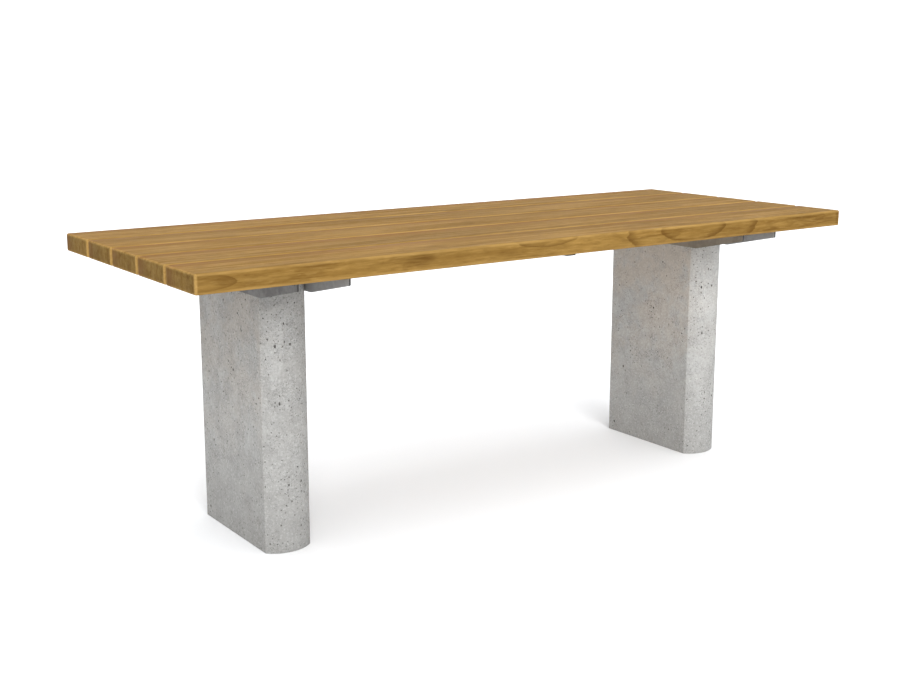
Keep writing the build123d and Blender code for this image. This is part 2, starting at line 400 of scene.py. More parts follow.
class GroupBuilder(Graph):
    """Makes one shared node group, which takes a vector and more and gives one number."""

    def __init__(self, name: str, output: str, **inputs: float | Point) -> None:
        """Opens the group.

        Args:
            name: the group's name.
            output: the name of what it gives.
            inputs: the starting values of what it takes besides the vector.
        """
        super().__init__(bpy.data.node_groups.new(name, "ShaderNodeTree"))
        sockets = self.tree.interface
        for label, value in {"Vector": (0.0, 0.0, 0.0), **inputs}.items():
            kind = "NodeSocketVector" if isinstance(value, tuple) else "NodeSocketFloat"
            sockets.new_socket(label, in_out="INPUT", socket_type=kind).default_value = value
        sockets.new_socket(output, in_out="OUTPUT", socket_type="NodeSocketFloat")
        self.given = self.tree.nodes.new("NodeGroupInput").outputs
        self.leave = self.tree.nodes.new("NodeGroupOutput").inputs

    def close(self, result: Socket) -> Tree:
        """Links the result to the output."""
        self.tree.links.new(result, self.leave[0])
        return self.tree


def cloud_patches() -> Tree:
    """Large soft patches: two sizes of noise added, then stretched between two levels.

    Returns:
        The node group.
    """
    build = GroupBuilder("cloud patches", "Value", Scale=5.0, Low=0.4, High=0.6)
    vector, scale = build.given["Vector"], build.given["Scale"]
    large = build.noise(vector, scale, 4.0, 0.6)
    small = build.noise(vector, build.times(scale, 4.7), 4.0, 0.6)
    both = build.blend(large, 0.68, small, 0.32)
    return build.close(build.span(both, build.given["Low"], build.given["High"]))


def fibre_streaks() -> Tree:
    """Streaks along X: noise on a space that is squeezed lengthwise.

    Returns:
        The node group.
    """
    build = GroupBuilder("fibre streaks", "Value", Across=300.0, Stretch=30.0)
    squeeze = build.math("DIVIDE", 1.0, build.given["Stretch"])
    scale = build.add("ShaderNodeCombineXYZ", {"X": squeeze, "Y": 1.0, "Z": 1.0}).outputs[0]
    drawn = build.vector("MULTIPLY", build.given["Vector"], scale)
    return build.close(build.noise(drawn, build.given["Across"], 3.0, 0.6))


def small_pits() -> Tree:
    """Small round holes, one in some of the cells of a cell pattern, each with its own size.

    Returns:
        The node group.
    """
    build = GroupBuilder("small pits", "Mask", Scale=200.0, Share=0.2, Radius=0.3)
    values = {label: build.given[label] for label in ("Vector", "Scale")}
    cell = build.add("ShaderNodeTexVoronoi", values).outputs
    chance = build.add("ShaderNodeSeparateColor", {0: cell["Color"]}).outputs
    chosen = build.math("LESS_THAN", chance[0], build.given["Share"])
    size = build.times(build.given["Radius"], build.math("ADD", chance[1], 0.25))
    hole = build.span(cell["Distance"], build.times(size, 0.45), size, 1.0, 0.0)
    return build.close(build.times(hole, chosen))


def box_rims() -> Tree:
    """The edges of a box: the middle one of the three distances to its faces, small only at an edge.

    Returns:
        The node group.
    """
    build = GroupBuilder("box rims", "Mask", Half=(1.0, 1.0, 1.0), Near=2.0 * MM, Far=6.0 * MM)
    inward = build.vector("ABSOLUTE", build.given["Vector"])
    depths = build.vector("SUBTRACT", build.given["Half"], inward)
    x, y, z = build.add("ShaderNodeSeparateXYZ", {0: depths}).outputs
    least, most = build.math("MINIMUM", x, y), build.math("MAXIMUM", x, y)
    middle = build.math("MAXIMUM", least, build.math("MINIMUM", most, z))
    return build.close(build.span(middle, build.given["Near"], build.given["Far"], 1.0, 0.0))


def edge_wear() -> Tree:
    """Where an edge has been rubbed: how far the rounded normal leaves the true one, broken by noise.

    Returns:
        The node group.
    """
    build = GroupBuilder("edge wear", "Mask", Radius=2.0 * MM, Breakup=90.0)
    rounded = build.add("ShaderNodeBevel", {"Radius": build.given["Radius"]}, samples=4).outputs[0]
    aligned = build.vector("DOT_PRODUCT", rounded, build.normal())
    patches = build.span(build.noise(build.given["Vector"], build.given["Breakup"], 4.0), 0.38, 0.62)
    return build.close(build.times(build.span(aligned, 0.80, 0.985, 1.0, 0.0), patches))


def settled_dust() -> Tree:
    """Fine dust on faces that look up, thicker in soft patches.

    Returns:
        The node group.
    """
    build = GroupBuilder("settled dust", "Mask", Scale=12.0, Amount=0.3)
    facing = build.span(build.axis(build.normal(), 2), 0.35, 0.95)
    clouds = build.noise(build.given["Vector"], build.given["Scale"], 5.0)
    patches = build.span(clouds, 0.35, 0.7, 0.3, 1.0)
    return build.close(build.times(facing, patches, build.given["Amount"]))


@dataclass
class SharedEffects:
    """The node groups that more than one material uses, each built once."""

    cloud: Tree = field(default_factory=cloud_patches)
    fibre: Tree = field(default_factory=fibre_streaks)
    pits: Tree = field(default_factory=small_pits)
    rims: Tree = field(default_factory=box_rims)
    wear: Tree = field(default_factory=edge_wear)
    dust: Tree = field(default_factory=settled_dust)


class MaterialGraph(Graph):
    """The nodes of one new material."""

    def __init__(self, name: str) -> None:
        """Starts the material with its main shader and the places in the frame.

        Args:
            name: the material's name.
        """
        self.material = bpy.data.materials.new(name)
        self.material.use_nodes = True
        super().__init__(self.material.node_tree)
        self.shader = self.tree.nodes["Principled BSDF"]
        self.place = self.add("ShaderNodeTexCoord").outputs["Object"]

    def close(self, inputs: dict[str, Any], height: Socket, relief: float, strength: float = 1.0) -> Material:
        """Fills the main shader and raises the surface.

        Args:
            inputs: values or sockets for the shader's inputs.
            height: the height of the surface, from 0 to 1.
            relief: what a height of 1 stands for, in metres.
            strength: how much of the relief shows.

        Returns:
            The finished material.
        """
        bump = self.add("ShaderNodeBump", {"Height": height, "Distance": relief, "Strength": strength})
        self.fill(self.shader, {**inputs, "Normal": bump.outputs[0]})
        return self.material


def lighter(colour: Colour, factor: float) -> Colour:
    """A fixed colour times a factor."""
    return tuple(factor * part for part in colour)


# Finishes


class Mark(Enum):
    """The shapes that growth rings and stains make on a plank's face, by how far their outline wavers."""

    LOOP = 0.34
    BLOTCH = 0.75


@dataclass(frozen=True)
class GrainMark:
    """One mark on a plank, by its middle and its reach from the plank's centre."""

    kind: Mark
    place: Point
    reach: Point
    depth: float
    rings: int = 1


@dataclass
class TimberFinish:
    """Oiled timber sawn so that its growth rings stand upright in the plank."""

    effects: SharedEffects
    name: str
    centre: Point
    half: Point
    heart_offset: tuple[float, float]
    drift: float
    tone: float
    marks: tuple[GrainMark, ...]
    pale: Colour = (0.260, 0.152, 0.041)
    middle: Colour = (0.196, 0.108, 0.026)
    dark: Colour = (0.092, 0.042, 0.008)
    heart: Colour = (0.180, 0.086, 0.026)
    # The rim colour is also the painted highlight laid on the eased edges.
    rim: Colour = (0.390, 0.245, 0.082)
    end_tint: Colour = (0.74, 0.79, 0.86)
    gloss: float = 0.012
    relief: float = 0.25 * MM
    ring_spacing: float = 6.2 * MM
    heart_band: tuple[float, float] = (62.0 * MM, 14.0 * MM)
    mark_depth: tuple[float, float] = (4.0 * MM, 7.0 * MM)

    def __post_init__(self) -> None:
        """Starts the material; its second set of places is moved so that each plank differs."""
        self.graph = MaterialGraph(self.name)
        self.local = self.graph.vector("SUBTRACT", self.graph.place, self.centre)
        move = (self.drift, self.drift * 0.37, self.drift * 0.71)
        self.shifted = self.graph.vector("ADD", self.local, move)

    def _fibre(self, across: float, stretch: float) -> Socket:
        """Streaks along the plank, by how fine they are and how long for their width."""
        return self.graph.use(self.effects.fibre, Vector=self.shifted, Across=across, Stretch=stretch)

    def build(self) -> Material:
        """Makes the material: pale wood, darker layers, the front face's marks, sawn ends, painted highlights on the
        eased edges.

        Returns:
            The timber material of one plank.
        """
        graph, dark, back = self.graph, self.dark, self.half[1]
        rings = self._rings()
        fine, dashes = self._fibre(620.0, 60.0), self._fibre(270.0, 8.0)
        streak, smudge, broad = self._fibre(62.0, 22.0), self._fibre(34.0, 4.5), self._fibre(9.0, 5.0)
        depth = graph.axis(self.local, 1)
        heart_side = graph.span(depth, back - self.heart_band[0], back - self.heart_band[1])
        on_front = graph.span(depth, self.mark_depth[0] - back, self.mark_depth[1] - back, 1.0, 0.0)
        colour = graph.layered(
            self.pale,
            (graph.span(streak, 0.34, 0.66), self.middle),
            (graph.span(smudge, 0.54, 0.74, 0.0, 0.40), dark),
            (graph.times(rings, 0.42), dark),
            (graph.span(fine, 0.48, 0.72, 0.0, 0.26), dark),
            (graph.span(dashes, 0.50, 0.74, 0.0, 0.38), dark),
            (graph.span(dashes, 0.48, 0.26, 0.0, 0.30), self.rim),
            (graph.times(heart_side, graph.span(broad, 0.36, 0.60, 0.35, 0.85)), self.heart),
            *((graph.times(self._drawn(mark), on_front, mark.depth), dark) for mark in self.marks),
        )
        shade = graph.span(broad, 0.32, 0.68, self.tone * 0.89, self.tone * 1.10)
        colour = self._end_grain(graph.vector("SCALE", colour, Scale=shade))
        # Painted highlight: the eased edges take the pale rim colour.
        colour = graph.mix(self._painted_edge_highlight(), colour, self.rim)
        height = graph.math("SUBTRACT", graph.times(fine, 0.7), graph.times(rings, 0.5))
        roughness = graph.span(streak, 0.3, 0.7, 0.52, 0.66)
        surface = {"Base Color": colour, "Roughness": roughness, "Specular IOR Level": self.gloss}
        return graph.close(surface, height, self.relief, 0.8)

    def _painted_edge_highlight(self) -> Socket:
        """Painted highlights on the eased edges: strong on the upright corners, broken along the plank, faint across
        the ends.

        Returns:
            A mask of how strong the painted highlight on the edge is.
        """
        graph, (x, y, z), far_off = self.graph, self.half, 10.0
        patchy = graph.span(graph.noise(self.shifted, 210.0), 0.35, 0.65, 0.42, 0.72)
        runs = graph.noise(self.shifted, (5.0, 60.0, 60.0), 4.0, 0.6)
        broken = graph.span(runs, 0.34, 0.62, 0.16, 0.50)
        spotted = graph.span(graph.noise(self.shifted, 130.0), 0.36, 0.62, 0.10, 0.45)
        mask = 0.0
        for half, near, far, cover in (
            ((x, y, far_off), 3.5 * MM, 7.5 * MM, patchy),
            ((far_off, y, z), 2.5 * MM, 8.0 * MM, broken),
            ((x, far_off, z), 2.0 * MM, 7.0 * MM, spotted),
        ):
            edge = graph.use(self.effects.rims, Vector=self.local, Half=half, Near=near, Far=far)
            mask = graph.math("MAXIMUM", mask, graph.times(edge, cover))
        return mask

    def _rings(self) -> Socket:
        """Dark late wood lines: distance from the heart, warped along the plank, cut into rings.

        Returns:
            A mask that is 1 on the dark line of each ring.
        """
        graph = self.graph
        heart = graph.vector("SUBTRACT", self.local, (0.0, *self.heart_offset))
        radius = graph.vector("LENGTH", graph.vector("MULTIPLY", heart, (0.0, 1.0, 1.0)))
        for scales, reach in (((2.6, 7.0, 13.0), 52.0 * MM), ((14.0, 40.0, 60.0), 5.5 * MM)):
            warp = graph.noise(self.shifted, scales, 2.0, 0.5)
            radius = graph.math("ADD", radius, graph.times(warp, reach))
        turn = graph.math("FRACT", graph.math("DIVIDE", radius, self.ring_spacing))
        rise = graph.span(turn, 0.30, 0.86)
        fall = graph.span(turn, 0.90, 1.0, 1.0, 0.0)
        fade = graph.span(graph.noise(self.shifted, (3.0, 16.0, 16.0)), 0.36, 0.66, 0.25, 1.0)
        return graph.times(rise, rise, fall, fade)

    def _drawn(self, mark: GrainMark) -> Socket:
        """A mark's mask, from the wavering distance to its middle in its own reaches.

        Args:
            mark: the mark.

        Returns:
            A mask of nested ovals, or of one soft patch.
        """
        graph = self.graph
        away = graph.vector("DIVIDE", graph.vector("SUBTRACT", self.local, mark.place), mark.reach)
        uneven = graph.noise(self.shifted, (16.0, 60.0, 60.0), 3.0, 0.6)
        waver = graph.times(graph.math("SUBTRACT", uneven, 0.5), mark.kind.value)
        far = graph.math("ADD", graph.vector("LENGTH", away), waver)
        return self._loop(far, mark.rings) if mark.kind is Mark.LOOP else self._blotch(far)

    def _loop(self, far: Socket, rings: int) -> Socket:
        """Nested ovals: lines that darken outwards and stop sharply, one for each reach from the middle.

        Args:
            far: how far a place is from the mark's middle, in reaches.
            rings: how many ovals there are.

        Returns:
            How dark the mark is, from 0 to 1.
        """
        graph = self.graph
        turn = graph.math("FRACT", far)
        rise = graph.math("POWER", graph.span(turn, 0.50, 0.955), 3.5)
        fall = graph.span(turn, 0.965, 1.0, 1.0, 0.0)
        within = graph.math("LESS_THAN", far, float(rings))
        return graph.times(rise, fall, graph.span(far, 0.45, 0.60), within)

    def _blotch(self, far: Socket) -> Socket:
        """A patch that fades outwards and is drawn out into streaks along the plank.

        Args:
            far: how far a place is from the mark's middle, in reaches.

        Returns:
            How dark the mark is, from 0 to 1.
        """
        streaks = self.graph.noise(self.shifted, (9.0, 190.0, 190.0), 3.0, 0.6)
        fade = self.graph.span(far, 0.35, 1.15, 1.0, 0.0)
        return self.graph.times(fade, self.graph.span(streaks, 0.30, 0.62, 0.35, 1.0))

    def _end_grain(self, colour: Socket) -> Socket:
        """Sawn ends drink more oil: they are darker and browner, with fine upright streaks.

        Args:
            colour: the colour of the long faces.

        Returns:
            The colour with the sawn ends in it.
        """
        graph = self.graph
        upright = graph.noise(self.shifted, (30.0, 210.0, 16.0), 4.0, 0.65)
        coarse = graph.noise(self.shifted, (10.0, 46.0, 9.0), 2.0)
        streaks = graph.span(graph.blend(upright, 0.6, coarse, 0.4), 0.40, 0.68, 0.0, 0.55)
        tinted = graph.mix(1.0, colour, self.end_tint, "MULTIPLY")
        return graph.mix(graph.span(graph.endways(), 0.72, 0.96), colour, graph.mix(streaks, tinted, self.dark))


@dataclass(frozen=True)
class ConcreteFinish:
    """Light grey concrete off a smooth mould, cloudy and pricked with small air holes."""

    effects: SharedEffects
    name: str
    tone: float
    # The level at the head; where it rises over the tone, it is painted light.
    head_painted_light: float
    painted_bounce_share: float
    pale: Colour = (0.405, 0.404, 0.392)
    deep: Colour = (0.275, 0.272, 0.262)
    # Painted bounce light: the warm tinge that the timber top throws on the flat sides.
    painted_bounce: Colour = (0.385, 0.345, 0.300)
    # Painted shade: the dark of the air holes and small pits; the dark threads take it too.
    hole: Colour = (0.100, 0.096, 0.088)
    gloss: float = 0.25
    relief: float = 0.7 * MM

    def build(self) -> Material:
        """Makes the material of the cast faces.

        Returns:
            The concrete material.
        """
        graph = MaterialGraph(self.name)
        place, effects = graph.place, self.effects
        up = graph.axis(place, 2)
        patches = graph.use(effects.cloud, Vector=place, Scale=19.0, Low=0.34, High=0.66)
        sand = graph.noise(place, 190.0, 4.0, 0.72)
        worms = self._worms(graph)
        crowd = graph.span(graph.noise(place, 13.0), 0.38, 0.62, 0.10, 0.62)
        small = graph.use(effects.pits, Vector=place, Scale=120.0, Share=crowd, Radius=0.26)
        tiny = graph.use(effects.pits, Vector=place, Scale=250.0, Share=crowd, Radius=0.36)
        holes = graph.math("MAXIMUM", small, graph.times(tiny, 0.75))
        worn = graph.use(effects.wear, Vector=place, Radius=3.0 * MM, Breakup=120.0)
        colour = graph.layered(
            self.deep,
            (graph.span(patches, 0.0, 1.0, 0.36, 0.86), self.pale),
            # painted warm bounce light from the timber top, on the flat sides near the head
            (self._painted_bounce_at_head(graph, up), self.painted_bounce),
            # painted shade towards the ground
            (self._painted_foot_shade(graph, up), self.deep),
            (graph.span(sand, 0.48, 0.70, 0.0, 0.62), self.deep),
            (graph.span(sand, 0.50, 0.28, 0.0, 0.55), lighter(self.pale, 1.28)),
            (graph.times(worms, 0.42), self.hole),
            # painted shade in the small air holes
            (graph.times(holes, 0.85), self.hole),
            (graph.times(worn, 0.15), self.pale),
        )
        # painted light: the level rises towards the head, lighting the right leg's head that the timber top shades
        tone = graph.span(up, 0.24, 0.64, self.tone, self.head_painted_light)
        sunk = graph.math("MAXIMUM", holes, graph.times(worms, 0.35))
        height = graph.math("SUBTRACT", graph.times(sand, 0.25), sunk)
        roughness = graph.span(patches, 0.0, 1.0, 0.90, 0.78)
        colour = graph.vector("SCALE", colour, Scale=tone)
        surface = {"Base Color": colour, "Roughness": roughness, "Specular IOR Level": self.gloss}
        return graph.close(surface, height, self.relief, 0.8)

    @staticmethod
    def _worms(graph: MaterialGraph) -> Socket:
        """Thin crooked dark threads: the places where a bent noise passes through its middle value.

        Args:
            graph: the concrete's nodes.

        Returns:
            How dark the threads are, from 0 to 1.
        """
        bend = graph.vector("MULTIPLY", graph.noise(graph.place, 60.0, 2.0), (0.02, 0.02, 0.02))
        waved = graph.noise(graph.vector("ADD", graph.place, bend), 105.0, 2.0, 0.6)
        off = graph.math("ABSOLUTE", graph.math("SUBTRACT", waved, 0.47))
        thread = graph.span(off, 0.0, 0.040, 1.0, 0.0)
        return graph.times(thread, graph.span(graph.noise(graph.place, 24.0), 0.44, 0.60))

    def _painted_bounce_at_head(self, graph: MaterialGraph, up: Socket) -> Socket:
        """Painted warm bounce light from the timber top: a brown tinge in patches on the flat sides, which grows
        towards the top of the leg.

        Args:
            graph: the concrete's nodes.
            up: the height on the leg.

        Returns:
            How strong the tinge is, from 0 to 1.
        """
        near_top = graph.span(up, 0.10, 0.62, 0.30 * self.painted_bounce_share, self.painted_bounce_share)
        patches = graph.use(self.effects.cloud, Vector=graph.place, Scale=9.0, Low=0.38, High=0.58)
        return graph.times(near_top, patches, graph.span(graph.endways(), 0.60, 0.95, 0.25, 1.0))

    @staticmethod
    def _painted_foot_shade(graph: MaterialGraph, up: Socket) -> Socket:
        """Painted shade: a soft darkening that grows towards the ground, with an uneven upper line."""
        ragged = graph.math("ADD", up, graph.times(graph.noise(graph.place, 12.0), 0.16))
        return graph.span(ragged, 0.06, 0.42, 0.62, 0.0)

    def build_hole_shade(self) -> Material:
        """Makes the material of the inside of the air holes, which is painted dark as the shade in them, and dusty.

        Returns:
            The material.
        """
        graph = MaterialGraph("concrete air hole shade")
        patches = graph.use(self.effects.cloud, Vector=graph.place, Scale=160.0, Low=0.40, High=0.60)
        colour = graph.mix(patches, self.hole, lighter(self.hole, 1.6))
        return graph.close({"Base Color": colour, "Roughness": 0.95}, graph.noise(graph.place, 900.0), 0.3 * MM)


@dataclass(frozen=True)
class SteelFinish:
    """Steel with a satin metal skin, brushed one way and rubbed along its edges."""

    name: str
    pale: Colour
    deep: Colour
    roughness: tuple[float, float]
    metal: float
    across: float = 260.0
    stretch: float = 9.0
    wear_radius: float = 1.2 * MM
    relief: float = 0.05 * MM
    dust: Colour = (0.42, 0.40, 0.37)

    def build(self, effects: SharedEffects) -> Material:
        """Makes the material.

        Args:
            effects: the shared node groups.

        Returns:
            The steel material.
        """
        graph = MaterialGraph(self.name)
        place, (smooth, rough) = graph.place, self.roughness
        patches = graph.use(effects.cloud, Vector=place, Scale=24.0, Low=0.38, High=0.64)
        brushed = graph.use(effects.fibre, Vector=place, Across=self.across, Stretch=self.stretch)
        worn = graph.use(effects.wear, Vector=place, Radius=self.wear_radius, Breakup=150.0)
        dust = graph.use(effects.dust, Vector=place, Scale=18.0, Amount=0.25)
        tone = graph.blend(patches, 0.6, brushed, 0.4)
        rubbed = (graph.times(worn, 0.5), lighter(self.pale, 1.5))
        colour = graph.layered(self.deep, (tone, self.pale), rubbed, (dust, self.dust))
        roughness = graph.span(tone, 0.2, 0.8, rough, smooth)
        surface = {"Base Color": colour, "Roughness": roughness, "Metallic": self.metal}
        return graph.close(surface, brushed, self.relief, 0.6)


class Steel(Enum):
    """The steels of the table: skins, cut edges, fixings and cast-in bars."""

    BRACKET = SteelFinish(
        "galvanised bracket steel", (0.355, 0.352, 0.348), (0.273, 0.271, 0.267), (0.48, 0.62), 0.2)
    # Painted shade: a darker copy of the bracket steel, for the left leg's outer bracket under its flange.
    SHADE_PAINTED_BRACKET = SteelFinish(
        "shade painted bracket steel", (0.125, 0.119, 0.113), (0.088, 0.084, 0.080), (0.52, 0.66), 0.2)
    # Painted shade: a darker, browner copy of the bracket steel, for the right leg's inner bracket under its flange.
    WARM_SHADE_PAINTED_BRACKET = SteelFinish(
        "warm shade painted bracket steel", (0.215, 0.178, 0.132), (0.165, 0.136, 0.100), (0.52, 0.66), 0.2)
    CUT_EDGE = SteelFinish(
        "flame cut steel edge", (0.048, 0.046, 0.044), (0.030, 0.029, 0.028), (0.60, 0.75), 0.0, 500.0, 2.0)
    ZINC = SteelFinish("zinc plated steel", (0.42, 0.42, 0.41), (0.30, 0.30, 0.29), (0.34, 0.50), 0.8, 500.0, 3.0)
    SCREW = SteelFinish(
        "blackened screw steel", (0.090, 0.086, 0.082), (0.050, 0.048, 0.046), (0.40, 0.58), 0.6, 500.0, 3.0)
    BAR = SteelFinish("mill scale bar steel", (0.16, 0.12, 0.10), (0.09, 0.07, 0.06), (0.55, 0.75), 0.6, 400.0, 4.0)


def rubber_material(effects: SharedEffects) -> Material:
    """Makes black sheet rubber with a cloudy bloom and a fine pressed grain.

    Args:
        effects: the shared node groups.

    Returns:
        The material.
    """
    graph = MaterialGraph("black sheet rubber")
    bloom = graph.use(effects.cloud, Vector=graph.place, Scale=30.0, Low=0.42, High=0.66)
    colour = graph.mix(bloom, (0.016, 0.016, 0.017), (0.045, 0.044, 0.042))
    surface = {"Base Color": colour, "Roughness": graph.span(bloom, 0.0, 1.0, 0.62, 0.82)}
    return graph.close(surface, graph.noise(graph.place, 1100.0, 2.0), 0.08 * MM)


class Finishes:
    """The materials that don't differ from plank to plank, and the groups they share."""

    def __init__(self) -> None:
        """Builds them all."""
        self.effects = SharedEffects()
        casts = {
            # The right leg's copy is painted lighter and warmer towards its head, where the timber top shades it.
            Side.LEFT: ConcreteFinish(self.effects, "cast concrete left", 0.87, 0.86, 0.55),
            Side.RIGHT: ConcreteFinish(self.effects, "cast concrete right", 0.97, 1.16, 1.0),
        }
        self.concrete = {side: cast.build() for side, cast in casts.items()}
        self.air_hole_shade = casts[Side.LEFT].build_hole_shade()
        self.steel = {kind: kind.value.build(self.effects) for kind in Steel}
        self.rubber = rubber_material(self.effects)


# Pieces


@dataclass
class Plank:
    """One plank: a box whose long edges, ends and corners are all eased, worn a little unevenly."""

    node: str
    seed: int
    edge: float = 5.0 * MM
    lower_edge: float = 3.0 * MM
    unevenness: float = 0.35 * MM
    arc_steps: int = 7
    side_steps: tuple[int, ...] = (18, 6, 18, 6)
    stations: int = 170

    def piece(self) -> Object:
        """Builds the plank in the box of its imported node.

        Returns:
            The plank, closed and smooth.
        """
        low, high = (np.array(corner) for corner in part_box(self.node))
        along = eased_run(low[0], high[0], self.edge, self.arc_steps, self.stations)
        section = self._sections(along, low, high)
        rings, columns = section.shape[:2]
        middle = (low + high) / 2
        end_middles = np.array([[end[0], middle[1], middle[2]] for end in (low, high)])
        points = np.concatenate([section.reshape(-1, 3), end_middles])
        tube, name = Tube(rings, columns), self.node + "_timber"
        return finish_object(name, shell(name, points, tube.quads().tolist() + tube.fans().tolist()), 40.0)

    def _sections(self, along: Array, low: Array, high: Array) -> Array:
        """The rounded outline at every place along the plank.

        Each outline is a rectangle with a quarter circle at each corner.  Near an end the
        rectangle shrinks as the quarter circle of the end's easing does.  A slow wave wears the
        outline inwards by a fraction of a millimetre.

        Args:
            along: the places along X.
            low: the lowest corner of the plank.
            high: the highest corner of the plank.

        Returns:
            Points, indexed by place, then round the outline, then by axis.
        """
        away = np.minimum(along - low[0], high[0] - along)
        upper, lower = self._reach(away, self.edge), self._reach(away, self.lower_edge)
        inset, lower_inset = self.edge - upper, self.lower_edge - lower
        generator = np.random.default_rng(self.seed)
        arcs = []
        for index, (side_y, side_z) in enumerate(((1, 1), (-1, 1), (-1, -1), (1, -1))):
            radius, drop = (upper, inset) if side_z > 0 else (lower, lower_inset)
            turn = np.linspace(0.0, math.pi / 2, self.arc_steps) + index * math.pi / 2
            wave = self._wave(along, generator)
            edge_y = (high[1] if side_y > 0 else low[1]) - side_y * (inset + wave)
            edge_z = (high[2] if side_z > 0 else low[2]) - side_z * (drop + 0.5 * wave * (side_z > 0))
            y = (edge_y - side_y * radius)[:, None] + radius[:, None] * np.cos(turn)[None, :]
            z = (edge_z - side_z * radius)[:, None] + radius[:, None] * np.sin(turn)[None, :]
            arcs.append(np.stack([np.broadcast_to(along[:, None], y.shape), y, z], axis=-1))
        return self._with_sides(arcs)

    @staticmethod
    def _reach(away: Array, radius: float) -> Array:
        """How much of a radius is left at a distance from the end: the height of a quarter circle."""
        inside = np.clip(radius - away, 0.0, radius)
        return np.sqrt(np.maximum(radius**2 - inside**2, 1e-12))

    def _wave(self, along: Array, generator: np.random.Generator) -> Array:
        """A slow wave of three sines, from 0 to the plank's unevenness.

        Args:
            along: places along the plank.
            generator: the plank's own random numbers.

        Returns:
            The height of the wave at each place.
        """
        phases = generator.uniform(0.0, 2 * math.pi, 3)
        lengths = generator.uniform((0.9, 0.35, 0.12), (1.6, 0.6, 0.22))
        waves = np.sin(2 * math.pi * along[:, None] / lengths + phases) * (0.5, 0.3, 0.2)
        return self.unevenness * 0.5 * (1.0 + waves.sum(axis=1))

    def _with_sides(self, arcs: list[Array]) -> Array:
        """Joins the four corner arcs with straight runs, each divided evenly, into the closed outlines.

        Args:
            arcs: the corners in order, each with its points at every place along the plank.

        Returns:
            The outlines, one for every place along the plank.
        """
        parts = []
        for arc, following, steps in zip(arcs, arcs[1:] + arcs[:1], self.side_steps):
            share = np.linspace(0.0, 1.0, steps + 1)[1:-1][None, :, None]
            parts += [arc, arc[:, -1:] * (1 - share) + following[:, :1] * share]
        return np.concatenate(parts, axis=1)


SIDES = ("left", "right")
NOSES = ("front", "back")
# Each group of air holes: place along the face, height, spread, count, largest hole in millimetres.
SIDE_CLUSTERS = (
    (-0.020, 0.420, 0.014, 6, 8.0),
    (-0.012, 0.404, 0.010, 5, 7.0),
    (0.075, 0.270, 0.022, 6, 6.0),
    (0.105, 0.215, 0.014, 5, 6.5),
    (0.140, 0.030, 0.012, 4, 7.0),
    (-0.100, 0.060, 0.030, 6, 5.0),
    (0.010, 0.330, 0.070, 12, 3.6),
    (0.100, 0.480, 0.070, 12, 3.4),
    (-0.060, 0.560, 0.060, 12, 3.4),
)
NOSE_CLUSTERS = (
    (-0.031, 0.503, 0.012, 5, 6.8),
    (0.005, 0.505, 0.010, 5, 6.6),
    (-0.010, 0.555, 0.024, 8, 5.5),
    (-0.035, 0.620, 0.024, 8, 4.6),
    (0.020, 0.600, 0.024, 7, 4.6),
    (-0.050, 0.473, 0.020, 7, 4.6),
    (-0.024, 0.366, 0.020, 9, 6.6),
    (0.030, 0.370, 0.020, 7, 4.8),
    (-0.010, 0.290, 0.030, 8, 3.8),
    (0.018, 0.207, 0.018, 9, 5.4),
    (-0.007, 0.167, 0.016, 9, 6.0),
    (0.028, 0.170, 0.016, 8, 6.0),
    (0.000, 0.126, 0.028, 14, 4.6),
    (0.025, 0.060, 0.024, 8, 4.8),
)
CLUSTERS = [(SIDES, *row) for row in SIDE_CLUSTERS] + [(NOSES, *row) for row in NOSE_CLUSTERS]


